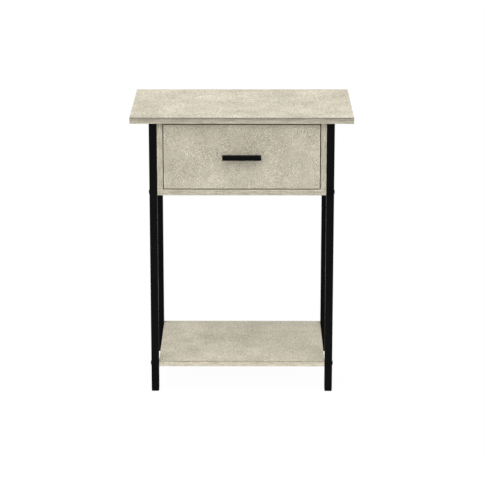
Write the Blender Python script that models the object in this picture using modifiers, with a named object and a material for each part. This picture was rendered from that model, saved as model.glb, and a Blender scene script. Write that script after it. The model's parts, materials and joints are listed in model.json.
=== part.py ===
"""A side table with one drawer: a laminated carcass and a lower shelf on four square-tube legs.

Units are metres, +Z is up, and the front faces -Y. Pieces are placed in the table's own frame, with
its origin on the floor under the middle of the top. The empty "table_frame" moves that frame back by
half of what the drawer pull stands proud of the top, which puts the world's origin on the floor at
the middle of the whole object.
"""

import math

import bmesh
import bpy
from mathutils import Vector

# --- Driving dimensions ----------------------------------------------------------------------

GAP = 0.0003  # left between pieces that touch
OVERRUN = 0.002  # how far a cutter starts outside what it cuts
HOLE_SPARE = 0.001  # depth of a blind hole past the tip of what goes into it
BOARD = 0.012  # thickness of the laminated boards
BOARD_EDGE = 0.0006  # rounding of a board's arrises

HEIGHT = 0.590
TOP_WIDTH = 0.457
TOP_DEPTH = 0.305
TOP_THICKNESS = 0.013

LEGS_WIDTH = 0.380  # outside to outside
LEGS_DEPTH = 0.287
LEG_SIZE = 0.016
LEG_WALL = 0.0012
LEG_CORNER = 0.0016
LEG_INNER_CORNER = 0.0006
FOOT_HEIGHT = 0.0065
FOOT_INSET = 0.0002  # cap's sides in from the tube's
FOOT_ROUNDING = 0.0022
FOOT_PLUG_LENGTH = 0.016
FOOT_PLUG_CHAMFER = 0.0008
FOOT_CORE_FLOOR = 0.002  # solid part of the plug under its hollow

SHELF_UNDERSIDE = 0.055
CARCASS_UNDERSIDE = 0.425
BOARD_SETBACK = 0.001  # of the boards' front edges behind the legs' front faces
THIN_BOARD = 0.003  # carcass back and drawer bottom
THIN_BOARD_EDGE = 0.0003

FRONT_SIDE_GAP = 0.0018  # drawer front to side panel
FRONT_BOTTOM_GAP = 0.0022
FRONT_TOP_GAP = 0.0042
RUNNER_SPACE = 0.0125  # side panel to drawer side
DRAWER_LENGTH = 0.250
DRAWER_SIDE_HEIGHT = 0.100
DRAWER_SIDE_LIFT = 0.010  # drawer sides above the carcass bottom
GROOVE_LIFT = 0.006  # drawer bottom's groove above the drawer sides' lower edges
GROOVE_DEPTH = 0.005

PULL_LENGTH = 0.080
PULL_BAR = 0.010
PULL_STANDOFF = 0.009
PULL_POST_RADIUS = 0.003
PULL_POST_SPACING = 0.048
PULL_HEIGHT = 0.507  # its centre above the floor
PULL_EDGE = 0.0006
PULL_SCREW_RADIUS = 0.0017
PULL_SCREW_LENGTH = 0.021
PULL_SCREW_HEAD_RADIUS = 0.0038
PULL_SCREW_HEAD_HEIGHT = 0.0022
PULL_SCREW_RIM = 0.0010

RUNNER_LIFT = 0.008  # cabinet runner above the carcass bottom
RUNNER_SHEET = 0.0012
RUNNER_HEIGHT = 0.0252
RUNNER_INSET = 0.0010  # cabinet runner's front end behind the drawer front
RUNNER_HOLE_RADIUS = 0.0022
RUNNER_HOLES_Y = (-0.06, 0.05)
DRAWER_RUNNER_SHEET = 0.001
FLANGE_CLEARANCE = 0.0026  # cabinet runner's upper edge to the drawer runner's flange
FRONT_ROLLER_RADIUS = 0.011
REAR_ROLLER_RADIUS = 0.0105
ROLLER_WIDTH = 0.0058
ROLLER_START = 0.0027  # side panel to the roller's near end
ROLLER_BORE = 0.0023
ROLLER_END = 0.014  # roller's axle from the runner's end
ROLLER_CHAMFER = 0.0007
ROLLER_TREAD = 0.0022  # thickness of the ring outside the roller's recess
ROLLER_HUB_RADIUS = 0.0042
ROLLER_RECESS = 0.0009
ROLLER_NOTCH_SPARE = 0.003
PIN_RADIUS = 0.0020
PIN_HEAD_RADIUS = 0.0032
PIN_HEAD_HEIGHT = 0.0005
PIN_COLLAR_RADIUS = 0.0034

LEG_BOLT_RADIUS = 0.003
LEG_BOLT_LENGTH = 0.040
LEG_BOLT_HEAD_RADIUS = 0.00475
LEG_BOLT_HEAD_HEIGHT = 0.0012
LEG_BOLT_RIM = 0.0003
LEG_BOLT_SOCKET_RADIUS = 0.0019
LEG_BOLT_SOCKET_DEPTH = 0.002  # below the head's underside
SCREW_RIM = 0.0004  # upright rim of a countersunk head
SCREW_POINT = 0.0015  # length of a screw's point
RECESS_DEPTH = 0.0014
RECESS_REACH = 0.55  # half length of a recess's slot, as a share of the head's radius
LEG_SCREW_HEAD = 0.0038  # radius
LEG_SCREW_RADIUS = 0.002
LEG_SCREW_LENGTH = 0.016
FLOOR_SCREW_HEAD = 0.0042  # radius
FLOOR_SCREW_RADIUS = 0.0025
FLOOR_SCREW_LENGTH = 0.038

CAM_RADIUS = 0.006
CAM_DEPTH = 0.0087
CAM_PLATE = 0.0025  # solid end of a cam disc, which shows inside the carcass
DOWEL_THREAD_RADIUS = 0.0026
DOWEL_THREAD_LENGTH = 0.0085
DOWEL_POINT = 0.0013
DOWEL_COLLAR_RADIUS = 0.0031
DOWEL_COLLAR_TOP = 0.0006  # collar's two faces, below the top panel's underside
DOWEL_COLLAR_BASE = 0.0030
DOWEL_TAPER = 0.001  # height of the cones under the collar and the head
DOWEL_BORE_SPARE = 0.0004
DOWEL_NECK_RADIUS = 0.0016
DOWEL_HEAD_RADIUS = 0.0026
DOWEL_HEAD_HALF = 0.0015

# --- Places worked out from them -------------------------------------------------------------

TOP_UNDERSIDE = HEIGHT - TOP_THICKNESS
LEG_X = (LEGS_WIDTH - LEG_SIZE) / 2
LEG_Y = (LEGS_DEPTH - LEG_SIZE) / 2
BETWEEN_LEGS = LEGS_WIDTH / 2 - LEG_SIZE
BOARD_FRONT = -LEGS_DEPTH / 2 + BOARD_SETBACK
BOARD_REAR = -BOARD_FRONT
BAY_HALF = BETWEEN_LEGS - BOARD
CARCASS_FLOOR = CARCASS_UNDERSIDE + BOARD
SIDE_PANEL_REAR = BOARD_REAR - THIN_BOARD - GAP
SIDE_PANEL_X = BETWEEN_LEGS - BOARD / 2

DRAWER_FRONT_REAR = BOARD_FRONT + BOARD
DRAWER_REAR = DRAWER_FRONT_REAR + DRAWER_LENGTH
DRAWER_OUTER = BAY_HALF - RUNNER_SPACE
DRAWER_INNER = DRAWER_OUTER - BOARD
DRAWER_BASE = CARCASS_FLOOR + DRAWER_SIDE_LIFT
GROOVE_BOTTOM = DRAWER_BASE + GROOVE_LIFT
GROOVE_TOP = GROOVE_BOTTOM + THIN_BOARD + 2 * GAP

RUNNER_BASE = CARCASS_FLOOR + RUNNER_LIFT
RUNNER_FRONT = DRAWER_FRONT_REAR + RUNNER_INSET
FRONT_ROLLER_Y = RUNNER_FRONT + ROLLER_END
REAR_ROLLER_Y = DRAWER_REAR - ROLLER_END
ROLLING_FLANGE = RUNNER_BASE + RUNNER_HEIGHT + FLANGE_CLEARANCE  # its underside
FRONT_ROLLER_Z = ROLLING_FLANGE - GAP - FRONT_ROLLER_RADIUS
REAR_ROLLER_Z = RUNNER_BASE + RUNNER_SHEET + GAP + REAR_ROLLER_RADIUS

PULL_FRONT = BOARD_FRONT - PULL_STANDOFF - PULL_BAR
FRAME_SHIFT = (-TOP_DEPTH / 2 - PULL_FRONT) / 2

SIDES = {"left": -1, "right": 1}
ENDS = {"front": -1, "rear": 1}

FLOOR_SCREW_Y = 0.090
CAM_Y = 0.090
CAM_DROP = 0.024
CAM_Z = TOP_UNDERSIDE - CAM_DROP
LEG_SCREW_Y = 0.133
LEG_SCREW_Z = 0.540


# --- Scene, collections and empties ----------------------------------------------------------


def clear_scene():
    for item in list(bpy.data.objects):
        bpy.data.objects.remove(item, do_unlink=True)


def new_collection(name):
    collection = bpy.data.collections.new(name)
    bpy.context.scene.collection.children.link(collection)
    return collection


def new_empty(name, location, parent=None):
    empty = bpy.data.objects.new(name, None)
    PARTS.objects.link(empty)
    empty.location = location
    empty.parent = parent
    return empty


# --- Materials -------------------------------------------------------------------------------


def new_material(name, color, roughness, metallic=0.0):
    material = bpy.data.materials.new(name)
    material.use_nodes = True
    shader = material.node_tree.nodes["Principled BSDF"]
    shader.inputs["Base Color"].default_value = (*color, 1.0)
    shader.inputs["Roughness"].default_value = roughness
    shader.inputs["Metallic"].default_value = metallic
    return material


def stone_laminate(name):
    return new_material(name, (0.55, 0.51, 0.41), 0.55)


def drawer_foil(name):
    return new_material(name, (0.50, 0.47, 0.40), 0.60)


def hardboard(name):
    return new_material(name, (0.42, 0.38, 0.31), 0.70)


def black_coating(name):
    return new_material(name, (0.012, 0.012, 0.012), 0.40)


def black_plastic(name):
    return new_material(name, (0.015, 0.015, 0.015), 0.55)


def zinc_plate(name):
    return new_material(name, (0.62, 0.62, 0.60), 0.35, 1.0)


def white_coating(name):
    return new_material(name, (0.72, 0.72, 0.70), 0.40)


def nylon(name):
    return new_material(name, (0.78, 0.77, 0.74), 0.45)


# --- Objects and cuts ------------------------------------------------------------------------


def add_part(name, mesh, location, finish, parent):
    part = bpy.data.objects.new(name, mesh)
    PARTS.objects.link(part)
    part.location = location
    part.parent = parent
    mesh.materials.append(finish(name))
    return part


def add_cutter(name, mesh, location, parent):
    cutter = bpy.data.objects.new(name, mesh)
    CUTTERS.objects.link(cutter)
    cutter.location = location
    cutter.parent = parent
    cutter.hide_render = True
    cutter.display_type = "WIRE"
    return cutter


def boolean(part, tool, operation="DIFFERENCE"):
    modifier = part.modifiers.new(f"{operation.lower()}_{tool.name}", "BOOLEAN")
    modifier.operation = operation
    modifier.solver = "EXACT"
    modifier.object = tool


def bevel_all(part, width, segments=2):
    modifier = part.modifiers.new("bevel", "BEVEL")
    modifier.width = width
    modifier.segments = segments
    modifier.limit_method = "ANGLE"


def aim(item, direction):
    """Turn the object's own +Z to point along a direction."""
    item.rotation_mode = "QUATERNION"
    item.rotation_quaternion = Vector(direction).to_track_quat("Z", "Y")


def box_mesh(name, size):
    mesh = bpy.data.meshes.new(name)
    shape = bmesh.new()
    bmesh.ops.create_cube(shape, size=1.0)
    bmesh.ops.scale(shape, vec=size, verts=shape.verts)
    shape.to_mesh(mesh)
    shape.free()
    return mesh


def middle_and_size(low, high):
    low, high = Vector(low), Vector(high)
    return (low + high) / 2, high - low


def box_cutter(name, low, high, parent):
    middle, size = middle_and_size(low, high)
    return add_cutter(name, box_mesh(name, size), middle, parent)


def rod_mesh(name, radius, length, segments=12):
    """A cylinder that starts at the origin and runs down its own -Z."""
    mesh = bpy.data.meshes.new(name)
    shape = bmesh.new()
    bmesh.ops.create_cone(
        shape, cap_ends=True, segments=segments, radius1=radius, radius2=radius, depth=length
    )
    bmesh.ops.translate(shape, vec=(0, 0, -length / 2), verts=shape.verts)
    shape.to_mesh(mesh)
    shape.free()
    return mesh


def rod_cutter(name, radius, start, direction, length, parent, segments=12):
    """Cuts a round hole from a start point along a direction."""
    cutter = add_cutter(name, rod_mesh(name, radius, length, segments), start, parent)
    aim(cutter, -Vector(direction))
    return cutter


def add_turning(item, steps):
    modifier = item.modifiers.new("turn", "SCREW")
    modifier.axis = "Z"
    modifier.angle = math.tau
    modifier.steps = steps
    modifier.render_steps = steps
    modifier.use_merge_vertices = True
    modifier.merge_threshold = 0.00001
    modifier.use_smooth_shade = True


def profile_mesh(name, profile, closed):
    """Points of (radius, height), listed down the outer side from the top."""
    mesh = bpy.data.meshes.new(name)
    points = [(radius, 0.0, height) for radius, height in profile]
    edges = [(i, i + 1) for i in range(len(points) - 1)]
    if closed:
        edges.append((len(points) - 1, 0))
    mesh.from_pydata(points, edges, [])
    return mesh


def turned(name, profile, location, direction, finish, parent, steps=20, closed=False):
    """A turned piece, whose profile's top points along the direction."""
    mesh = profile_mesh(name, profile, closed)
    part = add_part(name, mesh, location, finish, parent)
    aim(part, direction)
    add_turning(part, steps)
    return part


def turned_cutter(name, profile, location, direction, parent, steps=20):
    cutter = add_cutter(name, profile_mesh(name, profile, False), location, parent)
    aim(cutter, direction)
    add_turning(cutter, steps)
    return cutter


def rounded_square(size, radius, steps=3):
    """Corner arcs of a square outline, anticlockwise."""
    half = size / 2 - radius
    points = []
    for corner in range(4):
        start = corner * math.pi / 2
        middle_x = half if corner in (0, 3) else -half
        middle_y = half if corner in (0, 1) else -half
        for step in range(steps + 1):
            angle = start + step / steps * math.pi / 2
            x = middle_x + radius * math.cos(angle)
            y = middle_y + radius * math.sin(angle)
            points.append((x, y))
    return points


def extruded_mesh(name, outlines, length):
    """Flat outlines in XY, made solid along Z about the origin; a second outline is a hole."""
    curve = bpy.data.curves.new(name, "CURVE")
    curve.dimensions = "2D"
    curve.fill_mode = "BOTH"
    curve.extrude = length / 2
    for outline in outlines:
        spline = curve.splines.new("POLY")
        spline.points.add(len(outline) - 1)
        for point, (x, y) in zip(spline.points, outline):
            point.co = (x, y, 0.0, 1.0)
        spline.use_cyclic_u = True
    guide = bpy.data.objects.new(f"{name}_outline", curve)
    CUTTERS.objects.link(guide)
    bpy.context.view_layer.update()
    evaluated = guide.evaluated_get(bpy.context.evaluated_depsgraph_get())
    mesh = bpy.data.meshes.new_from_object(evaluated)
    mesh.name = name
    bpy.data.objects.remove(guide, do_unlink=True)
    shape = bmesh.new()
    shape.from_mesh(mesh)
    bmesh.ops.remove_doubles(shape, verts=shape.verts, dist=0.00001)
    bmesh.ops.recalc_face_normals(shape, faces=shape.faces)
    shape.to_mesh(mesh)
    shape.free()
    return mesh


# --- Boards ----------------------------------------------------------------------------------


def board(name, low, high, finish, parent, edge=BOARD_EDGE):
    middle, size = middle_and_size(low, high)
    part = add_part(name, box_mesh(name, size), middle, finish, parent)
    bevel_all(part, edge)
    return part


def make_top_panel(table):
    low = (-TOP_WIDTH / 2, -TOP_DEPTH / 2, TOP_UNDERSIDE)
    high = (TOP_WIDTH / 2, TOP_DEPTH / 2, HEIGHT)
    return board("top_panel", low, high, stone_laminate, table)


def make_shelf(table):
    reach = BETWEEN_LEGS - GAP
    low = (-reach, BOARD_FRONT, SHELF_UNDERSIDE)
    high = (reach, BOARD_REAR, SHELF_UNDERSIDE + BOARD)
    return board("shelf", low, high, stone_laminate, table)


def make_bottom_panel(table):
    reach = BETWEEN_LEGS - GAP
    low = (-reach, BOARD_FRONT, CARCASS_UNDERSIDE)
    high = (reach, BOARD_REAR, CARCASS_FLOOR)
    return board("bottom_panel", low, high, stone_laminate, table)


def make_side_panel(name, side, table):
    inner, outer = side * BAY_HALF, side * (BETWEEN_LEGS - GAP)
    low = (min(inner, outer), BOARD_FRONT, CARCASS_FLOOR + GAP)
    high = (max(inner, outer), SIDE_PANEL_REAR, TOP_UNDERSIDE - GAP)
    return board(name, low, high, stone_laminate, table)


def make_back_panel(table):
    reach = BETWEEN_LEGS - 2 * GAP
    low = (-reach, BOARD_REAR - THIN_BOARD, CARCASS_FLOOR + GAP)
    high = (reach, BOARD_REAR, TOP_UNDERSIDE - GAP)
    return board("back_panel", low, high, hardboard, table, edge=THIN_BOARD_EDGE)


# --- Legs and feet ---------------------------------------------------------------------------


def make_leg(name, x, y, table):
    bottom = FOOT_HEIGHT + GAP
    top = TOP_UNDERSIDE - GAP
    outer = rounded_square(LEG_SIZE, LEG_CORNER)
    inner = rounded_square(LEG_SIZE - 2 * LEG_WALL, LEG_INNER_CORNER, steps=2)
    mesh = extruded_mesh(name, [outer, inner], top - bottom)
    return add_part(name, mesh, (x, y, (top + bottom) / 2), black_coating, table)


def make_foot(name, x, y, table):
    """A cap under the tube, with its lower edges rounded, and a plug up inside the tube."""
    outline = rounded_square(LEG_SIZE - 2 * FOOT_INSET, LEG_CORNER)
    mesh = extruded_mesh(name, [outline], FOOT_HEIGHT)
    shape = bmesh.new()
    shape.from_mesh(mesh)
    floor = -FOOT_HEIGHT / 2 + GAP
    rim = [edge for edge in shape.edges if len(edge.link_faces) == 2]
    rim = [edge for edge in rim if all(vert.co.z < floor for vert in edge.verts)]
    rim = [edge for edge in rim if edge.calc_face_angle() > math.radians(45)]
    bmesh.ops.bevel(
        shape, geom=rim, offset=FOOT_ROUNDING, segments=3, profile=0.5, affect="EDGES"
    )
    shape.to_mesh(mesh)
    shape.free()
    foot = add_part(name, mesh, (x, y, FOOT_HEIGHT / 2), black_plastic, table)
    half = LEG_SIZE / 2 - LEG_WALL - GAP
    plug_low = (x - half, y - half, FOOT_HEIGHT / 2)
    plug_high = (x + half, y + half, FOOT_HEIGHT + FOOT_PLUG_LENGTH)
    plug = box_cutter(f"{name}_plug", plug_low, plug_high, table)
    bevel_all(plug, FOOT_PLUG_CHAMFER, segments=1)
    boolean(foot, plug, "UNION")
    core_low = (x - half / 2, y - half / 2, FOOT_HEIGHT + FOOT_CORE_FLOOR)
    core_high = (x + half / 2, y + half / 2, FOOT_HEIGHT + FOOT_PLUG_LENGTH + OVERRUN)
    boolean(foot, box_cutter(f"{name}_core", core_low, core_high, table))


def make_legs(table):
    """The legs, each with its foot, keyed by end and side."""
    legs = {}
    for end, y_sign in ENDS.items():
        for side, x_sign in SIDES.items():
            x, y = x_sign * LEG_X, y_sign * LEG_Y
            legs[end, side] = make_leg(f"leg_{end}_{side}", x, y, table)
            make_foot(f"foot_{end}_{side}", x, y, table)
    return legs


# --- Fasteners -------------------------------------------------------------------------------


def dome(radius, height, rim, steps=3):
    """Profile points from the middle of a domed head down to the top of its rim."""
    points = []
    for step in range(steps + 1):
        turn = step / steps * math.pi / 2
        points.append((radius * math.sin(turn), rim + (height - rim) * math.cos(turn)))
    return points


def shank(radius, length, taper=0.001):
    """Profile points of a plain shank below a head, chamfered at its tip."""
    return [(radius, 0.0), (radius, taper - length), (radius - taper, -length), (0.0, -length)]


def make_leg_bolt(name, side, y, z, leg, panel, table):
    """A domed bolt with a hexagon socket, through the leg into the end of a board."""
    out = Vector((side, 0, 0))
    start = Vector((side * (LEGS_WIDTH / 2 + GAP), y, z))
    head = dome(LEG_BOLT_HEAD_RADIUS, LEG_BOLT_HEAD_HEIGHT, LEG_BOLT_RIM)
    profile = head + [(LEG_BOLT_HEAD_RADIUS, 0.0)] + shank(LEG_BOLT_RADIUS, LEG_BOLT_LENGTH)
    bolt = turned(name, profile, start, out, black_coating, table, steps=16)
    above = LEG_BOLT_HEAD_HEIGHT + OVERRUN
    reach = above + LEG_BOLT_SOCKET_DEPTH
    socket = rod_cutter(
        f"{name}_socket", LEG_BOLT_SOCKET_RADIUS, start + out * above, -out, reach, table, 6
    )
    boolean(bolt, socket)
    reach = OVERRUN + LEG_BOLT_LENGTH + HOLE_SPARE
    hole = rod_cutter(
        f"{name}_hole", LEG_BOLT_RADIUS + GAP, start + out * OVERRUN, -out, reach, table
    )
    boolean(leg, hole)
    boolean(panel, hole)


def countersunk(head, radius, length, grow=0.0):
    """Profile of a countersunk screw, or of its hole with room to spare all round."""
    sink = head - radius
    return [
        (0.0, grow),
        (head + grow, grow),
        (head + grow, -SCREW_RIM - grow),
        (radius + grow, -SCREW_RIM - sink - grow),
        (radius + grow, SCREW_POINT - length - grow),
        (0.0, -length - grow),
    ]


def cross_recess(screw, name, start, out, half, parent):
    """Two crossed slots in a screw's head."""
    arms = ((half, half / 3), (half / 3, half))
    for index, (wide, narrow) in enumerate(arms):
        mesh = box_mesh(f"{name}_slot_{index}", (2 * wide, 2 * narrow, 2 * RECESS_DEPTH))
        slot = add_cutter(f"{name}_slot_{index}", mesh, start, parent)
        aim(slot, out)
        boolean(screw, slot)


def make_screw(name, start, out, head, radius, length, boards, parent):
    """A countersunk screw whose head lies flush, with its hole in each board it goes through."""
    profile = countersunk(head, radius, length)
    screw = turned(name, profile, start, out, zinc_plate, parent, steps=12)
    cross_recess(screw, name, start, out, head * RECESS_REACH, parent)
    profile = countersunk(head, radius, length, grow=GAP)
    hole = turned_cutter(f"{name}_hole", profile, start, out, parent, steps=12)
    for each in boards:
        boolean(each, hole)


def make_cam_fitting(side_name, side, end_name, end, panel, top, table):
    """A dowel screwed up into the top, and the cam in the side panel that holds its head."""
    label = f"{side_name}_{end_name}"
    x, y = side * SIDE_PANEL_X, end * CAM_Y
    thread, collar = DOWEL_THREAD_RADIUS, DOWEL_COLLAR_RADIUS
    neck, head, half = DOWEL_NECK_RADIUS, DOWEL_HEAD_RADIUS, DOWEL_HEAD_HALF
    profile = [
        (0.0, DOWEL_THREAD_LENGTH),
        (neck, DOWEL_THREAD_LENGTH),
        (thread, DOWEL_THREAD_LENGTH - DOWEL_POINT),
        (thread, -DOWEL_COLLAR_TOP),
        (collar, -DOWEL_COLLAR_TOP),
        (collar, -DOWEL_COLLAR_BASE),
        (neck, -DOWEL_COLLAR_BASE - DOWEL_TAPER),
        (neck, 2 * half - CAM_DROP),
        (head, half - CAM_DROP),
        (head, -half - CAM_DROP),
        (0.0, -half - DOWEL_TAPER - CAM_DROP),
    ]
    place = Vector((x, y, TOP_UNDERSIDE))
    turned(f"cam_dowel_{label}", profile, place, (0, 0, 1), zinc_plate, table, steps=12)
    start = place - Vector((0, 0, OVERRUN))
    reach = OVERRUN + DOWEL_THREAD_LENGTH + GAP
    into_top = rod_cutter(f"dowel_hole_{label}", thread + GAP, start, (0, 0, 1), reach, table)
    boolean(top, into_top)
    bore = collar + DOWEL_BORE_SPARE
    reach = CAM_DROP + 2 * half
    down = rod_cutter(f"dowel_bore_{label}", bore, place, (0, 0, -1), reach, table)
    boolean(panel, down)

    face = Vector((side * (BAY_HALF + GAP), y, CAM_Z))
    inward = Vector((-side, 0, 0))
    mesh = rod_mesh(f"cam_disc_{label}", CAM_RADIUS, CAM_DEPTH, 24)
    disc = add_part(f"cam_disc_{label}", mesh, face, zinc_plate, table)
    aim(disc, inward)
    slot_inner = side * (BAY_HALF + GAP + CAM_PLATE)
    slot_outer = side * (BAY_HALF + GAP + CAM_DEPTH + OVERRUN)
    slot_low = (min(slot_inner, slot_outer), y - head - 2 * GAP, CAM_Z - head - GAP)
    slot_high = (max(slot_inner, slot_outer), y + head + 2 * GAP, CAM_Z + CAM_RADIUS + OVERRUN)
    boolean(disc, box_cutter(f"cam_slot_{label}", slot_low, slot_high, table))
    cross_recess(disc, f"cam_{label}", face, inward, CAM_RADIUS / 2, table)
    start = face + inward * OVERRUN
    reach = OVERRUN + CAM_DEPTH + 2 * GAP
    pocket = rod_cutter(f"cam_pocket_{label}", CAM_RADIUS + GAP, start, -inward, reach, table, 24)
    boolean(panel, pocket)


def make_fasteners(table, legs, shelf, bottom, panels, top):
    for side_name, side in SIDES.items():
        for end_name, end in ENDS.items():
            label = f"{end_name}_{side_name}"
            leg, panel = legs[end_name, side_name], panels[side_name]
            y = end * LEG_Y
            shelf_z = SHELF_UNDERSIDE + BOARD / 2
            carcass_z = CARCASS_UNDERSIDE + BOARD / 2
            make_leg_bolt(f"leg_bolt_lower_{label}", side, y, shelf_z, leg, shelf, table)
            make_leg_bolt(f"leg_bolt_upper_{label}", side, y, carcass_z, leg, bottom, table)

            inward = (-side, 0, 0)
            start = (side * (BAY_HALF + GAP), end * LEG_SCREW_Y, LEG_SCREW_Z)
            size = (LEG_SCREW_HEAD, LEG_SCREW_RADIUS, LEG_SCREW_LENGTH)
            make_screw(f"leg_screw_{label}", start, inward, *size, (panel, leg), table)

            start = (side * SIDE_PANEL_X, end * FLOOR_SCREW_Y, CARCASS_UNDERSIDE + GAP)
            size = (FLOOR_SCREW_HEAD, FLOOR_SCREW_RADIUS, FLOOR_SCREW_LENGTH)
            make_screw(f"floor_screw_{label}", start, (0, 0, -1), *size, (bottom, panel), table)
            make_cam_fitting(side_name, side, end_name, end, panel, top, table)


# --- Drawer ----------------------------------------------------------------------------------


def make_drawer_front(drawer):
    reach = BAY_HALF - FRONT_SIDE_GAP
    low = (-reach, BOARD_FRONT, CARCASS_FLOOR + FRONT_BOTTOM_GAP)
    high = (reach, DRAWER_FRONT_REAR, TOP_UNDERSIDE - FRONT_TOP_GAP)
    return board("drawer_front", low, high, stone_laminate, drawer)


def make_drawer_side(name, side, drawer):
    inner, outer = side * DRAWER_INNER, side * DRAWER_OUTER
    low = (min(inner, outer), DRAWER_FRONT_REAR + GAP, DRAWER_BASE)
    high = (max(inner, outer), DRAWER_REAR, DRAWER_BASE + DRAWER_SIDE_HEIGHT)
    return board(name, low, high, drawer_foil, drawer)


def make_drawer_back(drawer):
    reach = DRAWER_INNER - GAP
    low = (-reach, DRAWER_REAR - BOARD, GROOVE_TOP)
    high = (reach, DRAWER_REAR, DRAWER_BASE + DRAWER_SIDE_HEIGHT)
    return board("drawer_back", low, high, drawer_foil, drawer)


def make_drawer_bottom(drawer):
    reach = DRAWER_INNER + GROOVE_DEPTH - GAP
    front = DRAWER_FRONT_REAR - GROOVE_DEPTH + GAP
    low = (-reach, front, GROOVE_BOTTOM + GAP)
    high = (reach, DRAWER_REAR, GROOVE_TOP - GAP)
    return board("drawer_bottom", low, high, hardboard, drawer, edge=THIN_BOARD_EDGE)


def cut_bottom_groove(boards, drawer):
    reach = DRAWER_INNER + GROOVE_DEPTH
    low = (-reach, DRAWER_FRONT_REAR - GROOVE_DEPTH, GROOVE_BOTTOM)
    high = (reach, DRAWER_REAR + OVERRUN, GROOVE_TOP)
    groove = box_cutter("bottom_groove", low, high, drawer)
    for each in boards:
        boolean(each, groove)


def make_pull(front, drawer):
    """A square bar on two round posts, held by screws from inside the drawer."""
    bar_y = BOARD_FRONT - PULL_STANDOFF - PULL_BAR / 2
    mesh = box_mesh("drawer_pull", (PULL_LENGTH, PULL_BAR, PULL_BAR))
    pull = add_part("drawer_pull", mesh, (0, bar_y, PULL_HEIGHT), black_coating, drawer)
    bevel_all(pull, PULL_EDGE)
    for side_name, side in SIDES.items():
        x = side * PULL_POST_SPACING / 2
        foot = Vector((x, BOARD_FRONT - GAP, PULL_HEIGHT))
        length = PULL_STANDOFF - GAP + PULL_BAR / 2
        post = rod_cutter(
            f"pull_post_{side_name}", PULL_POST_RADIUS, foot, (0, -1, 0), length, drawer
        )
        boolean(pull, post, "UNION")
    for side_name, side in SIDES.items():
        x = side * PULL_POST_SPACING / 2
        inside = Vector((x, DRAWER_FRONT_REAR + GAP, PULL_HEIGHT))
        rear = Vector((0, 1, 0))
        head = dome(PULL_SCREW_HEAD_RADIUS, PULL_SCREW_HEAD_HEIGHT, PULL_SCREW_RIM)
        rim = [(PULL_SCREW_HEAD_RADIUS, 0.0)]
        profile = head + rim + shank(PULL_SCREW_RADIUS, PULL_SCREW_LENGTH)
        name = f"pull_screw_{side_name}"
        screw = turned(name, profile, inside, rear, zinc_plate, drawer, steps=14)
        crown = inside + rear * PULL_SCREW_HEAD_HEIGHT
        cross_recess(screw, name, crown, rear, PULL_SCREW_HEAD_RADIUS * RECESS_REACH, drawer)
        start = inside + rear * OVERRUN
        reach = OVERRUN + PULL_SCREW_LENGTH + GAP
        hole = rod_cutter(f"{name}_hole", PULL_SCREW_RADIUS + GAP, start, -rear, reach, drawer)
        boolean(front, hole)
        boolean(pull, hole)


# --- Runners and rollers ---------------------------------------------------------------------


def runner_mesh(name, side, outline, length):
    """A folded section along Y. Outline points are (inwards from the side panel, up)."""
    placed = [(side * (BAY_HALF - inward), up) for inward, up in outline]
    return extruded_mesh(name, [placed], length)


def add_runner(name, side, outline, front, length, parent):
    mesh = runner_mesh(name, side, outline, length)
    runner = add_part(name, mesh, (0, front + length / 2, 0), white_coating, parent)
    runner.rotation_euler = (math.pi / 2, 0, 0)
    return runner


def screw_holes(runner, name, side, inward, z, parent):
    """Holes through the runner's upright, whose outer face is inward from the side panel."""
    for index, y in enumerate(RUNNER_HOLES_Y):
        start = (side * (BAY_HALF - inward + OVERRUN), y, z)
        reach = 2 * OVERRUN + RUNNER_SHEET
        hole = rod_cutter(
            f"{name}_hole_{index}", RUNNER_HOLE_RADIUS, start, (-side, 0, 0), reach, parent
        )
        boolean(runner, hole)


def make_cabinet_runner(name, side, table):
    """A channel open towards the drawer, with its upper flange cut away at the front roller."""
    base, sheet = RUNNER_BASE, RUNNER_SHEET
    top = base + RUNNER_HEIGHT
    web, lower, lip, upper = GAP, 0.0105, 0.003, 0.008
    outline = [
        (web, base),
        (lower, base),
        (lower, base + lip),
        (lower - sheet, base + lip),
        (lower - sheet, base + sheet),
        (web + sheet, base + sheet),
        (web + sheet, top - sheet),
        (upper, top - sheet),
        (upper, top),
        (web, top),
    ]
    runner = add_runner(name, side, outline, RUNNER_FRONT, DRAWER_LENGTH, table)
    clear = FRONT_ROLLER_Y + FRONT_ROLLER_RADIUS + ROLLER_NOTCH_SPARE
    notch_inner = side * (BAY_HALF - web - sheet - GAP)
    notch_outer = side * (BAY_HALF - upper - OVERRUN)
    low = (min(notch_inner, notch_outer), RUNNER_FRONT - OVERRUN, top - 2 * sheet)
    high = (max(notch_inner, notch_outer), clear, top + OVERRUN)
    boolean(runner, box_cutter(f"{name}_notch", low, high, table))
    screw_holes(runner, name, side, web, base + RUNNER_HEIGHT / 2, table)
    return runner


def make_drawer_runner(name, side, drawer):
    """An upright beside the drawer side, a foot under it, and a flange that rides on the roller."""
    sheet = DRAWER_RUNNER_SHEET
    web = RUNNER_SPACE - GAP - sheet
    foot = DRAWER_BASE - GAP - sheet
    top = ROLLING_FLANGE + sheet
    foot_reach, flange_reach = 0.020, 0.0025
    outline = [
        (web, foot),
        (foot_reach, foot),
        (foot_reach, foot + sheet),
        (web + sheet, foot + sheet),
        (web + sheet, top),
        (flange_reach, top),
        (flange_reach, ROLLING_FLANGE),
        (web, ROLLING_FLANGE),
    ]
    front = DRAWER_FRONT_REAR + GAP
    runner = add_runner(name, side, outline, front, DRAWER_LENGTH - GAP, drawer)
    screw_holes(runner, name, side, web, (foot + top) / 2, drawer)
    return runner


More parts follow.
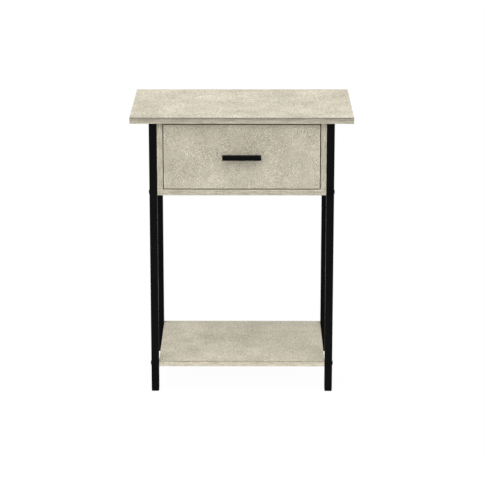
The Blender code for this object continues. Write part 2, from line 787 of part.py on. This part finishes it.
def make_roller(name, side, radius, y, z, parent):
    """A roller that turns about its own Z axis, which lies along X."""
    half = ROLLER_WIDTH / 2
    hub, recess = ROLLER_HUB_RADIUS, ROLLER_RECESS
    outer_side = [
        (hub, half),
        (hub + recess, half - recess),
        (radius - ROLLER_TREAD, half),
        (radius, half - ROLLER_CHAMFER),
    ]
    lower_side = [(r, -h) for r, h in reversed(outer_side)]
    profile = outer_side + lower_side + [(ROLLER_BORE, -half), (ROLLER_BORE, half)]
    x = side * (BAY_HALF - ROLLER_START - half)
    return turned(name, profile, (x, y, z), (1, 0, 0), nylon, parent, steps=20, closed=True)


def make_roller_pin(name, side, web, towards, y, z, runner, parent):
    """A headed pin, riveted through a runner's upright and reaching through the roller.

    web is the upright's far face from the roller, in from the side panel; towards is +1 where the
    roller lies further in than the upright, and -1 where it lies further out.
    """
    sheet = RUNNER_SHEET if towards > 0 else DRAWER_RUNNER_SHEET
    near, far = ROLLER_START, ROLLER_START + ROLLER_WIDTH
    roller_start, roller_end = (near, far) if towards > 0 else (far, near)
    collar = abs(roller_start - web) - GAP
    end = abs(roller_end - web) + GAP
    tail = GAP / 3
    profile = [
        (0.0, end + PIN_HEAD_HEIGHT),
        (PIN_HEAD_RADIUS * 0.8, end + PIN_HEAD_HEIGHT),
        (PIN_HEAD_RADIUS, end + PIN_HEAD_HEIGHT * 0.4),
        (PIN_HEAD_RADIUS, end),
        (PIN_RADIUS, end),
        (PIN_RADIUS, collar),
        (PIN_COLLAR_RADIUS, collar),
        (PIN_COLLAR_RADIUS, sheet + GAP),
        (PIN_RADIUS, sheet + GAP),
        (PIN_RADIUS, tail),
        (0.0, tail),
    ]
    place = Vector((side * (BAY_HALF - web), y, z))
    direction = Vector((-side * towards, 0, 0))
    turned(name, profile, place, direction, zinc_plate, parent, steps=12)
    start = place - direction * OVERRUN
    reach = OVERRUN + sheet + GAP
    hole = rod_cutter(f"{name}_hole", PIN_RADIUS + GAP, start, direction, reach, parent)
    boolean(runner, hole)


def make_runners(table, drawer):
    for side_name, side in SIDES.items():
        fixed = make_cabinet_runner(f"cabinet_runner_{side_name}", side, table)
        moving = make_drawer_runner(f"drawer_runner_{side_name}", side, drawer)
        y, z = FRONT_ROLLER_Y, FRONT_ROLLER_Z
        make_roller(f"front_roller_{side_name}", side, FRONT_ROLLER_RADIUS, y, z, table)
        make_roller_pin(f"front_roller_pin_{side_name}", side, GAP, 1, y, z, fixed, table)
        y, z = REAR_ROLLER_Y, REAR_ROLLER_Z
        make_roller(f"rear_roller_{side_name}", side, REAR_ROLLER_RADIUS, y, z, drawer)
        web = RUNNER_SPACE - GAP
        make_roller_pin(f"rear_roller_pin_{side_name}", side, web, -1, y, z, moving, drawer)


def make_drawer(drawer):
    front = make_drawer_front(drawer)
    sides = [make_drawer_side(f"drawer_side_{name}", side, drawer) for name, side in SIDES.items()]
    make_drawer_back(drawer)
    make_drawer_bottom(drawer)
    cut_bottom_groove([front, *sides], drawer)
    make_pull(front, drawer)


# --- The whole table -------------------------------------------------------------------------


def build_table():
    table = new_empty("table_frame", (0, FRAME_SHIFT, 0))
    drawer = new_empty("drawer_frame", (0, 0, 0), table)
    top = make_top_panel(table)
    shelf = make_shelf(table)
    bottom = make_bottom_panel(table)
    panels = {name: make_side_panel(f"side_panel_{name}", side, table) for name, side in SIDES.items()}
    make_back_panel(table)
    legs = make_legs(table)
    make_fasteners(table, legs, shelf, bottom, panels, top)
    make_drawer(drawer)
    make_runners(table, drawer)


clear_scene()
PARTS = new_collection("side_table_with_drawer")
CUTTERS = new_collection("cutters")
build_table()
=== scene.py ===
"""The looks of a side table with one drawer: stone-look laminate boards on square black steel legs.

Every length is in metres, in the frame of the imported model: +Z up, and -Y out of the drawer front.
"""

import json
import math

import bmesh
import bpy
from mathutils import Matrix, Vector


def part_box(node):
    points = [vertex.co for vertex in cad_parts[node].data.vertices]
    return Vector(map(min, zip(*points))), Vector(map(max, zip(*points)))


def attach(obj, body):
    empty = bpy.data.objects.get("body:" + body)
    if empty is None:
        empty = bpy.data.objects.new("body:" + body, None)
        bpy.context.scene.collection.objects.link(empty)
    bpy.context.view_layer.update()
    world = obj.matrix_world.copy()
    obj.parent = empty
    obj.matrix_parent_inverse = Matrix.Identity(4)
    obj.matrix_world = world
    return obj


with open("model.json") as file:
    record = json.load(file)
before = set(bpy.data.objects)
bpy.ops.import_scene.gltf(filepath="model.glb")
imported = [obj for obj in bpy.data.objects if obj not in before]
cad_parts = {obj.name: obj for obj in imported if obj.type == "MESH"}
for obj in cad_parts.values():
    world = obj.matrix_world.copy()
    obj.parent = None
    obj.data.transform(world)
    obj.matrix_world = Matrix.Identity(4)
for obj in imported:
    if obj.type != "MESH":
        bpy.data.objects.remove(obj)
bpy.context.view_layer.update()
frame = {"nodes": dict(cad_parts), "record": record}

NODES = frame["nodes"]
SLOT_OF = {part["node"]: part["material_slot"] for part in frame["record"]["subparts"]}

# ---------------------------------------------------------------------------
# Node graphs
# ---------------------------------------------------------------------------


def linear(red, green, blue):
    """An sRGB colour from 0 to 255 as the linear colour that a shader takes."""
    channels = []
    for value in (red, green, blue):
        share = value / 255
        if share <= 0.04045:
            channels.append(share / 12.92)
        else:
            channels.append(((share + 0.055) / 1.055) ** 2.4)
    return (*channels, 1.0)


class Graph:
    """One material, and short ways of adding nodes to it. An input can be a socket or a plain value."""

    def __init__(self, name, roughness=0.5, metallic=0.0, specular=0.5):
        self.material = bpy.data.materials.new(name)
        self.material.use_nodes = True
        self.tree = self.material.node_tree
        self.shader = self.tree.nodes["Principled BSDF"]
        self.shader.inputs["Roughness"].default_value = roughness
        self.shader.inputs["Metallic"].default_value = metallic
        self.shader.inputs["Specular IOR Level"].default_value = specular
        self.place = self.tree.nodes.new("ShaderNodeTexCoord").outputs["Object"]

    def put(self, value, socket):
        if isinstance(value, bpy.types.NodeSocket):
            self.tree.links.new(value, socket)
        else:
            socket.default_value = value

    def moved(self, scale=(1, 1, 1), offset=(0, 0, 0)):
        """The place on the object, stretched and shifted."""
        node = self.tree.nodes.new("ShaderNodeMapping")
        self.put(self.place, node.inputs["Vector"])
        self.put(scale, node.inputs["Scale"])
        self.put(offset, node.inputs["Location"])
        return node.outputs["Vector"]

    def axis(self, letter, vector=None):
        node = self.tree.nodes.new("ShaderNodeSeparateXYZ")
        self.put(self.place if vector is None else vector, node.inputs["Vector"])
        return node.outputs[letter]

    def normal(self):
        return self.tree.nodes.new("ShaderNodeNewGeometry").outputs["Normal"]

    def noise(self, scale, detail=2.0, roughness=0.5, vector=None, distortion=0.0):
        node = self.tree.nodes.new("ShaderNodeTexNoise")
        self.put(self.place if vector is None else vector, node.inputs["Vector"])
        self.put(scale, node.inputs["Scale"])
        self.put(detail, node.inputs["Detail"])
        self.put(roughness, node.inputs["Roughness"])
        self.put(distortion, node.inputs["Distortion"])
        return node.outputs["Fac"]

    def math(self, operation, first, second=0.0, third=0.0):
        node = self.tree.nodes.new("ShaderNodeMath")
        node.operation = operation
        for value, socket in zip((first, second, third), node.inputs):
            self.put(value, socket)
        return node.outputs["Value"]

    def spread(self, value, low, high, to_low=0.0, to_high=1.0, smooth=True):
        """Value carried from low..high to to_low..to_high, and held at the ends."""
        node = self.tree.nodes.new("ShaderNodeMapRange")
        node.interpolation_type = "SMOOTHSTEP" if smooth else "LINEAR"
        for number, socket in zip((value, low, high, to_low, to_high), node.inputs):
            self.put(number, socket)
        return node.outputs["Result"]

    def ramp(self, value, stops):
        node = self.tree.nodes.new("ShaderNodeValToRGB")
        elements = node.color_ramp.elements
        while len(elements) < len(stops):
            elements.new(0.5)
        for element, (position, color) in zip(elements, stops):
            element.position = position
            element.color = color
        self.put(value, node.inputs["Fac"])
        return node.outputs["Color"]

    def mix(self, share, first, second, blend="MIX"):
        node = self.tree.nodes.new("ShaderNodeMix")
        node.data_type = "RGBA"
        node.blend_type = blend
        self.put(share, node.inputs["Factor"])
        self.put(first, node.inputs["A"])
        self.put(second, node.inputs["B"])
        return node.outputs["Result"]

    def color(self, value):
        self.put(value, self.shader.inputs["Base Color"])

    def roughness(self, value):
        self.put(value, self.shader.inputs["Roughness"])

    def bump(self, height, depth):
        """Height from 0 to 1 raises the surface by up to depth metres."""
        node = self.tree.nodes.new("ShaderNodeBump")
        node.inputs["Strength"].default_value = 1.0
        node.inputs["Distance"].default_value = depth
        self.put(height, node.inputs["Height"])
        self.put(node.outputs["Normal"], self.shader.inputs["Normal"])


# ---------------------------------------------------------------------------
# Stone-look laminate
# ---------------------------------------------------------------------------

STONE_DARK = linear(128, 120, 101)
STONE_MIDDLE = linear(196, 188, 167)
STONE_LIGHT = linear(243, 235, 214)
CLOUDS = 14  # to a metre, like the other counts here
PATCHES = 90
GRIT = 1000
BUSY_PLACES = 24  # where the specks are stronger
CLOUD_STRENGTH = 0.72
PATCH_STRENGTH = 0.26
SPECK_STRENGTH = 1.95
GRIT_STRENGTH = 0.6
STONE_RELIEF = 0.00006

EDGE_FACING = (0.45, 0.75)  # where the print takes over from the edge band as a rounded arris turns
STREAKS_THROUGH = 700.0  # the edge band's streaks to a metre, through the board's thickness
STREAKS_ALONG = 45.0
STREAKS_ACROSS = 90.0
STREAK_STRENGTH = 1.3
BAND_SPECKS = 380
BAND_SPECK_STRENGTH = 0.5
HIGH_SIDE_LINE_WIDTH = 0.0026
ARRIS_WIDTH = 0.0022


def about_zero(graph, noise, strength):
    """A noise that runs from 0 to 1, carried to run evenly to both sides of 0."""
    return graph.math("MULTIPLY_ADD", noise, strength, -strength / 2)


def stone_print(graph, offset, crisp, fineness, patchy):
    """The print's tone, about 0.5 on average: broad clouds, smaller patches, and specks, stronger in places.

    fineness is the number of specks to a metre, crisp how strong they are, and patchy how strong the patches.
    """
    spot = graph.moved(offset=offset)
    clouds = graph.noise(CLOUDS, detail=3, roughness=0.6, vector=spot)
    patches = graph.noise(PATCHES, detail=2, vector=spot)
    specks = graph.noise(fineness, detail=2, roughness=0.7, vector=spot, distortion=0.8)
    grit = graph.noise(GRIT, detail=1, vector=spot)
    busy = graph.spread(graph.noise(BUSY_PLACES, detail=1, vector=spot), 0.38, 0.62, 0.7, 1.3)
    layers = [
        about_zero(graph, clouds, CLOUD_STRENGTH),
        about_zero(graph, patches, PATCH_STRENGTH * patchy),
        graph.math("MULTIPLY", about_zero(graph, specks, SPECK_STRENGTH * crisp), busy),
        about_zero(graph, grit, GRIT_STRENGTH),
    ]
    tone = 0.5
    for layer in layers:
        tone = graph.math("ADD", layer, tone)
    return tone, specks, grit


def edge_mask(graph, face):
    """1 on the narrow edges of a board, and 0 on its two wide faces, which look along the axis face."""
    across = graph.math("ABSOLUTE", graph.axis(face, graph.normal()))
    return graph.spread(across, *EDGE_FACING, 1.0, 0.0)


def band_print(graph, face, along):
    """The tone of the edge band, which is streaked along the board."""
    stretch = [STREAKS_ACROSS] * 3
    stretch["XYZ".index(face)] = STREAKS_THROUGH
    stretch["XYZ".index(along)] = STREAKS_ALONG
    stretched = graph.moved(scale=stretch, offset=(3.1, 1.7, 5.3))
    streaks = graph.noise(1, detail=3, roughness=0.6, vector=stretched)
    specks = graph.noise(BAND_SPECKS, detail=1, vector=graph.moved(offset=(0.6, 0.9, 0.2)))
    tone = graph.math("ADD", about_zero(graph, streaks, STREAK_STRENGTH), 0.5)
    return graph.math("ADD", tone, about_zero(graph, specks, BAND_SPECK_STRENGTH))


def tinted(graph, color, tone):
    """Color times a tone that changes over the surface."""
    grey = graph.tree.nodes.new("ShaderNodeCombineColor")
    for channel in ("Red", "Green", "Blue"):
        graph.put(tone, grey.inputs[channel])
    return graph.mix(1.0, color, grey.outputs["Color"], "MULTIPLY")


def by_the_arris(graph, name, face):
    """1 on the outermost strip of a board's wide faces, where a painted highlight lightens the rim, and 0
    elsewhere.
    """
    nearest = 1.0
    low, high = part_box(name)
    for index, letter in enumerate("XYZ"):
        if letter != face:
            place = graph.axis(letter)
            from_low = graph.math("SUBTRACT", place, low[index])
            from_high = graph.math("SUBTRACT", high[index], place)
            nearest = graph.math("MINIMUM", nearest, graph.math("MINIMUM", from_low, from_high))
    return graph.spread(nearest, ARRIS_WIDTH / 2, ARRIS_WIDTH, 1.0, 0.0)


def laminate(
    name, face, along, offset,
    tone=1.0, crisp=1.0, fineness=480, patchy=1.0, band=(1.0, 1.0), high_side_line=None, arris=None,
):
    """Stone-look laminate for a board whose wide faces look along one axis and whose length is along another.

    offset picks the piece of the print. tone is the print's brightness on the wide faces, and band that of
    the edge band at its low and its high side, a painted gradient of light and shade across the board's
    thickness. seam is the brightness of a thin line along the edge band's high side, darker below 1 and a
    painted highlight above 1, and arris is the brightness of the wide faces' rim, a painted highlight above
    1.
    """
    graph = Graph(name, roughness=0.5, specular=0.5)
    stops = [(0.0, STONE_DARK), (0.5, STONE_MIDDLE), (1.0, STONE_LIGHT)]
    print_tone, specks, grit = stone_print(graph, offset, crisp, fineness, patchy)
    face_color = graph.ramp(print_tone, stops)
    if arris:
        # Painted highlight along the rim of the wide faces.
        arris_highlight = graph.spread(by_the_arris(graph, name, face), 0.0, 1.0, 1.0, arris, smooth=False)
        face_color = tinted(graph, face_color, arris_highlight)
    if tone != 1.0:
        face_color = graph.mix(1.0, face_color, (tone, tone, tone, 1.0), "MULTIPLY")
    low, high = (corner["XYZ".index(face)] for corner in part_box(name))
    level = graph.spread(graph.axis(face), low, high, smooth=False)
    # Painted light and shade: the edge band gets lighter or darker from its low side to its high side.
    band_tone = graph.spread(level, 0.0, 1.0, band[0], band[1], smooth=False)
    # A thin line along the band's high side: darker where seam is below 1, and a painted highlight where it
    # is above 1.
    if high_side_line:
        by_high_side_line = graph.spread(graph.axis(face), high - HIGH_SIDE_LINE_WIDTH, high - HIGH_SIDE_LINE_WIDTH / 3)
        band_tone = graph.math("MULTIPLY", band_tone, graph.spread(by_high_side_line, 0.0, 1.0, 1.0, high_side_line))
    band_color = tinted(graph, graph.ramp(band_print(graph, face, along), stops), band_tone)
    graph.color(graph.mix(edge_mask(graph, face), face_color, band_color))
    graph.roughness(graph.spread(specks, 0.3, 0.7, 0.56, 0.44))
    relief = graph.math("MULTIPLY_ADD", grit, 0.5, graph.math("MULTIPLY", specks, 0.5))
    graph.bump(relief, STONE_RELIEF)
    return graph.material


# ---------------------------------------------------------------------------
# The other finishes
# ---------------------------------------------------------------------------


def black_coating(name, shine, texture_scale=900, depth=0.000012):
    """Powder coat or moulded plastic: near black, with a fine orange-peel texture."""
    graph = Graph(name, roughness=shine, specular=0.035)
    dust = graph.noise(9, detail=3, roughness=0.6)
    peel = graph.noise(texture_scale, detail=1)
    graph.color(graph.ramp(dust, [(0.3, linear(9, 9, 9)), (0.7, linear(15, 15, 15))]))
    graph.roughness(graph.spread(dust, 0.3, 0.7, shine - 0.04, shine + 0.06))
    graph.bump(peel, depth)
    return graph.material


def zinc_plate(name):
    graph = Graph(name, metallic=1.0)
    cloud = graph.noise(260, detail=3)
    graph.color(graph.ramp(cloud, [(0.3, linear(176, 176, 170)), (0.7, linear(214, 213, 205))]))
    graph.roughness(graph.spread(cloud, 0.3, 0.7, 0.42, 0.28))
    graph.bump(graph.noise(2400, detail=1), 0.00001)
    return graph.material


def white_coating(name):
    """Epoxy-coated steel, with a little grey mottling in it."""
    graph = Graph(name, roughness=0.4)
    dust = graph.noise(70, detail=4, roughness=0.65)
    graph.color(graph.ramp(dust, [(0.35, linear(214, 213, 208)), (0.6, linear(224, 223, 218))]))
    graph.roughness(graph.spread(dust, 0.3, 0.7, 0.48, 0.36))
    graph.bump(graph.noise(1800, detail=1), 0.00003)
    return graph.material


def nylon(name):
    graph = Graph(name, roughness=0.45)
    cloud = graph.noise(400, detail=2)
    graph.color(graph.ramp(cloud, [(0.3, linear(208, 204, 192)), (0.7, linear(228, 224, 212))]))
    graph.roughness(graph.spread(cloud, 0.3, 0.7, 0.5, 0.4))
    graph.shader.inputs["Subsurface Weight"].default_value = 0.15
    graph.shader.inputs["Subsurface Radius"].default_value = (0.002, 0.002, 0.0016)
    graph.shader.inputs["Subsurface Scale"].default_value = 1.0
    return graph.material


def drawer_foil(name):
    """Printed paper foil on the drawer box, in a plain tone with a faint linen weave."""
    graph = Graph(name, roughness=0.6, specular=0.3)
    clouds = graph.noise(30, detail=2)
    threads = graph.noise(1, detail=1, vector=graph.moved(scale=(1400, 180, 1400)))
    cross = graph.noise(1, detail=1, vector=graph.moved(scale=(180, 1400, 180)))
    weave = graph.math("MULTIPLY_ADD", threads, 0.5, graph.math("MULTIPLY", cross, 0.5))
    tone = graph.math("MULTIPLY_ADD", clouds, 0.4, graph.math("MULTIPLY", weave, 0.6))
    graph.color(graph.ramp(tone, [(0.35, linear(186, 181, 167)), (0.65, linear(206, 201, 187))]))
    graph.bump(weave, 0.00004)
    return graph.material


def hardboard(name):
    """Thin fibreboard with a thin coat of paint over short fibres."""
    graph = Graph(name, roughness=0.7, specular=0.25)
    clouds = graph.noise(25, detail=2)
    stretched = graph.moved(scale=(420, 260, 260))
    fibres = graph.noise(1, detail=4, roughness=0.75, distortion=1.5, vector=stretched)
    tone = graph.math("MULTIPLY_ADD", clouds, 0.15, graph.math("MULTIPLY", fibres, 0.85))
    graph.color(graph.ramp(tone, [(0.35, linear(168, 160, 142)), (0.65, linear(194, 186, 168))]))
    graph.bump(fibres, 0.00008)
    return graph.material


FINISHES = {
    "drawer_foil": drawer_foil("drawer_foil_weave"),
    "hardboard": hardboard("hardboard_fibre"),
    "black_steel": black_coating("black_powder_coat", 0.42),
    "black_plastic": black_coating("black_moulded_plastic", 0.6, texture_scale=2200),
    "black_bolts": black_coating("black_oxide", 0.4, texture_scale=3000, depth=0.00001),
    "zinc_hardware": zinc_plate("zinc_plating"),
    "black_pull": black_coating("black_pull_coat", 0.4),
    "white_steel": white_coating("white_epoxy_coat"),
    "nylon": nylon("natural_nylon"),
}

# The band pairs are painted light and shade: the top's edge band darker towards its top, the shelf's lighter
# towards its bottom, the side panels' darker on their outer sides.
LAMINATES = {
    "top_panel": laminate(
        "top_panel", "Z", "X", (3.453, 0.464, 0.910),
        tone=1.0, crisp=1.1, fineness=300, patchy=1.6, band=(0.97, 0.47), high_side_line=0.62,
    ),
    "shelf": laminate(
        "shelf", "Z", "X", (2.874, 0.726, 1.433),
        tone=0.974, crisp=0.95, fineness=360, patchy=1.0, band=(1.25, 1.05), high_side_line=0.52,
    ),
    # seam above 1 here: a painted highlight along the top of the bottom panel's edge band.
    "bottom_panel": laminate("bottom_panel", "Z", "X", (1.3, 0.2, 0.6), band=(0.94, 0.90), high_side_line=1.2),
    "side_panel_left": laminate("side_panel_left", "X", "Z", (0.4, 1.1, 0.9), band=(0.90, 0.94)),
    "side_panel_right": laminate("side_panel_right", "X", "Z", (0.9, 0.5, 1.4), band=(0.93, 0.88)),
    # arris above 1: a painted highlight along the drawer front's rim.
    "drawer_front": laminate(
        "drawer_front", "Y", "X", (6.104, 1.638, 0.929), tone=0.978, crisp=1.03, arris=1.15
    ),
}

for node, part in NODES.items():
    part.data.materials.clear()
    part.data.materials.append(LAMINATES.get(node) or FINISHES[SLOT_OF[node]])


# ---------------------------------------------------------------------------
# Small fasteners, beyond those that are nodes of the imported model
# ---------------------------------------------------------------------------

SIDES = {"left": -1, "right": 1}

CABINET_RUNNER_SHEET = 0.0012
CABINET_HOLES = (0.0695, 0.1795)  # behind the runner's front end
FLAT_HEAD_RADIUS = 0.0020
FLAT_HEAD_TOP = -0.0001  # from the upright's face
FLAT_HEAD_RIM = 0.00015
FLAT_HEAD_SINK = 0.0009
FLAT_HEAD_RECESS = 0.0005

DRAWER_RUNNER_UPRIGHT = 0.0087  # its outer face, in from the edge of the runner's flange
DRAWER_HOLES = (0.0702, 0.1802)
PAN_HEAD_RADIUS = 0.0032
PAN_HEAD_HEIGHT = 0.0011
PAN_HEAD_RIM = 0.0004
PAN_HEAD_SEAT = 0.00005  # the head's underside, from the upright's face
PAN_HEAD_NECK = 0.0019
PAN_HEAD_SINK = 0.0008
PAN_HEAD_RECESS = 0.0007
RECESS_ARM = 0.55  # length of a cross recess's arm, as a share of the head's radius

NAIL_ROWS = 4
NAIL_MARGIN = 0.014
NAIL_RADIUS = 0.0019
NAIL_HEIGHT = 0.0005
NAIL_SKIRT = 0.0001
NAIL_SEAT = 0.00015  # the nail's rim, from the back panel's face


def by_turn(face):
    """Orders a turned shape's faces by turn, then by height, because a spin makes them in no fixed order."""
    centre = face.calc_center_median()
    return math.atan2(centre.y, centre.x) + centre.z


def turned_mesh(name, profile, steps=24):
    """A turned shape about +Z, from points of (radius, height) that start and end on the axis."""
    shape = bmesh.new()
    points = [shape.verts.new((radius, 0.0, height)) for radius, height in profile]
    line = [shape.edges.new(pair) for pair in zip(points, points[1:])]
    bmesh.ops.spin(
        shape, geom=points + line, axis=(0, 0, 1), cent=(0, 0, 0), angle=math.tau, steps=steps, use_merge=True
    )
    bmesh.ops.remove_doubles(shape, verts=shape.verts, dist=0.000001)
    bmesh.ops.recalc_face_normals(shape, faces=shape.faces)
    shape.faces.sort(key=by_turn)
    mesh = bpy.data.meshes.new(name)
    shape.to_mesh(mesh)
    shape.free()
    return mesh


def cross_mesh(name, arm, depth):
    """Two crossed slots that narrow downwards, as the cutter of a recess whose mouth is at z = 0."""
    shape = bmesh.new()
    for wide, narrow in ((arm, arm / 4), (arm / 4, arm)):
        corners = bmesh.ops.create_cube(shape, size=2.0)["verts"]
        for corner in corners:
            taper = 1.0 if corner.co.z > 0 else 0.6
            corner.co = (corner.co.x * wide * taper, corner.co.y * narrow * taper, corner.co.z * depth)
    mesh = bpy.data.meshes.new(name)
    shape.to_mesh(mesh)
    shape.free()
    return mesh


def with_recess(mesh, radius, top, depth):
    """A screw's head with a cross recess cut into its top."""
    head = bpy.data.objects.new(mesh.name, mesh)
    cross = cross_mesh(f"{mesh.name}_cross", radius * RECESS_ARM, depth)
    cutter = bpy.data.objects.new(cross.name, cross)
    cutter.location.z = top
    for item in (head, cutter):
        bpy.context.scene.collection.objects.link(item)
    cut = head.modifiers.new("recess", "BOOLEAN")
    cut.object = cutter
    cut.use_self = True
    depsgraph = bpy.context.evaluated_depsgraph_get()
    result = bpy.data.meshes.new_from_object(head.evaluated_get(depsgraph))
    for item in (head, cutter):
        bpy.data.objects.remove(item, do_unlink=True)
    return result


def fastener_piece(name, mesh, places, body):
    """Copies of one small shape, each at a place and pointing along a direction, as one piece on a body."""
    shape = bmesh.new()
    for place, direction in places:
        turn = Vector(direction).to_track_quat("Z", "Y").to_matrix().to_4x4()
        copy = mesh.copy()
        copy.transform(Matrix.Translation(place) @ turn)
        shape.from_mesh(copy)
        bpy.data.meshes.remove(copy)
    joined = bpy.data.meshes.new(name)
    shape.to_mesh(joined)
    shape.free()
    joined.shade_smooth()
    joined.set_sharp_from_angle(angle=math.radians(35))
    joined.materials.append(FINISHES["zinc_hardware"])
    piece = bpy.data.objects.new(name, joined)
    bpy.context.scene.collection.objects.link(piece)
    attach(piece, body)


def dome(radius, height, turns, base=0.0):
    """Profile points of a domed head, at turns from its middle down to its rim at the height base."""
    return [(radius * math.sin(turn), base + height * math.cos(turn)) for turn in turns]


def runner_places(runner, side, inward, holes, direction):
    """The places of a runner's screws: inward is from its outermost face to the face they stand on."""
    low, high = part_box(f"{runner}_runner_{side}")
    x = low[0] + inward if side == "left" else high[0] - inward
    height = (low[2] + high[2]) / 2
    return [((x, low[1] + hole, height), direction) for hole in holes]


def make_cabinet_runner_screws():
    """Flat screws, sunk flush in the channel's upright so that the drawer's rollers run past them."""
    radius, top = FLAT_HEAD_RADIUS, FLAT_HEAD_TOP
    profile = [
        (0, top),
        (radius * 0.8, top),
        (radius, top - FLAT_HEAD_RIM),
        (radius * 0.75, -FLAT_HEAD_SINK),
        (0, -FLAT_HEAD_SINK),
    ]
    head = with_recess(turned_mesh("flat_head", profile), radius, top, FLAT_HEAD_RECESS)
    places = []
    for side, sign in SIDES.items():
        places += runner_places("cabinet", side, CABINET_RUNNER_SHEET, CABINET_HOLES, (-sign, 0, 0))
    fastener_piece("cabinet_runner_screws", head, places, "table")


def make_drawer_runner_screws():
    """Low pan-head screws on the outside of the drawer's runners, with their necks in the holes."""
    radius, rim, seat = PAN_HEAD_RADIUS, PAN_HEAD_RIM, PAN_HEAD_SEAT
    profile = dome(radius, PAN_HEAD_HEIGHT - rim, (0, 0.4, 0.8, 1.2, math.pi / 2), base=rim)
    profile += [(radius, seat), (PAN_HEAD_NECK, seat), (PAN_HEAD_NECK, -PAN_HEAD_SINK), (0, -PAN_HEAD_SINK)]
    head = with_recess(turned_mesh("pan_head", profile), radius, PAN_HEAD_HEIGHT, PAN_HEAD_RECESS)
    places = []
    for side, sign in SIDES.items():
        places += runner_places("drawer", side, DRAWER_RUNNER_UPRIGHT, DRAWER_HOLES, (sign, 0, 0))
    fastener_piece("drawer_runner_screws", head, places, "drawer")


def make_back_panel_nails():
    """Small nails through the back panel into the rear edges of the side panels."""
    profile = dome(NAIL_RADIUS, NAIL_HEIGHT, (0, 0.5, 1.0, math.pi / 2))
    profile += [(NAIL_RADIUS * 0.9, -NAIL_SKIRT), (0, -NAIL_SKIRT)]
    head = turned_mesh("nail_head", profile, steps=16)
    low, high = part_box("back_panel")
    first, last = low[2] + NAIL_MARGIN, high[2] - NAIL_MARGIN
    places = []
    for side in SIDES:
        panel_low, panel_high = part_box(f"side_panel_{side}")
        x = (panel_low[0] + panel_high[0]) / 2
        for row in range(NAIL_ROWS):
            height = first + (last - first) * row / (NAIL_ROWS - 1)
            places.append(((x, high[1] + NAIL_SEAT, height), (0, 1, 0)))
    fastener_piece("back_panel_nails", head, places, "table")


make_cabinet_runner_screws()
make_drawer_runner_screws()
make_back_panel_nails()


# ---------------------------------------------------------------------------
# Floor, light and camera
# ---------------------------------------------------------------------------


FLOOR_HALF = 30.0
FLOOR_GLOW = 0.97
FLOOR_GREY = 0.03
BACKDROP = 1.005  # brightness behind the floor, which matches the floor's glow and what it reflects
SKY = 0.80  # strength of the light from the horizon up
NADIR = 0.15  # strength of the light from straight below
FADE_END = -0.7  # how far down, as the direction's z, the sky fades to that

AIM = Vector((0, 0, 0.2886))
PLACE = Vector((0.015, -4.315, 1.4496))
LENS = 155.5


def make_floor():
    """A floor that glows like a light table, and that only the camera and reflections see."""
    mesh = bpy.data.meshes.new("floor")
    corners = [(x * FLOOR_HALF, y * FLOOR_HALF, 0) for x, y in ((-1, -1), (1, -1), (1, 1), (-1, 1))]
    mesh.from_pydata(corners, [], [(0, 1, 2, 3)])
    floor = bpy.data.objects.new("floor", mesh)
    floor.visible_diffuse = False
    bpy.context.scene.collection.objects.link(floor)
    graph = Graph("pale_floor", roughness=0.9, specular=0.0)
    graph.shader.inputs["Base Color"].default_value = (FLOOR_GREY, FLOOR_GREY, FLOOR_GREY, 1)
    graph.shader.inputs["Emission Color"].default_value = (1, 1, 1, 1)
    graph.shader.inputs["Emission Strength"].default_value = FLOOR_GLOW
    mesh.materials.append(graph.material)


def make_sky():
    """Even light from above, which fades below the horizon, and a backdrop as pale as the floor."""
    world = bpy.data.worlds.new("studio")
    world.use_nodes = True
    tree = world.node_tree
    direction = tree.nodes.new("ShaderNodeSeparateXYZ")
    tree.links.new(tree.nodes.new("ShaderNodeTexCoord").outputs["Generated"], direction.inputs["Vector"])
    fade = tree.nodes.new("ShaderNodeMapRange")
    tree.links.new(direction.outputs["Z"], fade.inputs["Value"])
    for socket, value in (("From Min", FADE_END), ("From Max", 0.0), ("To Min", NADIR), ("To Max", SKY)):
        fade.inputs[socket].default_value = value
    light = tree.nodes["Background"]
    light.inputs["Color"].default_value = (1, 1, 1, 1)
    tree.links.new(fade.outputs["Result"], light.inputs["Strength"])
    backdrop = tree.nodes.new("ShaderNodeBackground")
    backdrop.inputs["Color"].default_value = (1, 1, 1, 1)
    backdrop.inputs["Strength"].default_value = BACKDROP
    choice = tree.nodes.new("ShaderNodeMixShader")
    tree.links.new(tree.nodes.new("ShaderNodeLightPath").outputs["Is Camera Ray"], choice.inputs["Fac"])
    tree.links.new(light.outputs["Background"], choice.inputs[1])
    tree.links.new(backdrop.outputs["Background"], choice.inputs[2])
    tree.links.new(choice.outputs["Shader"], tree.nodes["World Output"].inputs["Surface"])
    bpy.context.scene.world = world


def make_light(name, elevation, turn, softness, strength):
    """Soft light, softness degrees across, from turn degrees to the left of someone who faces the drawer."""
    data = bpy.data.lights.new(name, "SUN")
    data.angle = math.radians(softness)
    data.energy = strength
    light = bpy.data.objects.new(name, data)
    light.rotation_euler = (math.radians(90 - elevation), 0, math.radians(-turn))
    bpy.context.scene.collection.objects.link(light)


def make_camera():
    data = bpy.data.cameras.new("camera")
    data.sensor_width = 36.0
    data.lens = LENS
    data.clip_end = 100.0
    camera = bpy.data.objects.new("camera", data)
    camera.location = PLACE
    camera.rotation_euler = (AIM - PLACE).to_track_quat("-Z", "Y").to_euler()
    bpy.context.scene.collection.objects.link(camera)
    bpy.context.scene.camera = camera


make_floor()
make_sky()
make_light("key", elevation=62, turn=12, softness=58, strength=1.28)
make_light("fill", elevation=20, turn=-8, softness=58, strength=0.52)
make_camera()
bpy.context.scene.view_settings.view_transform = "Standard"
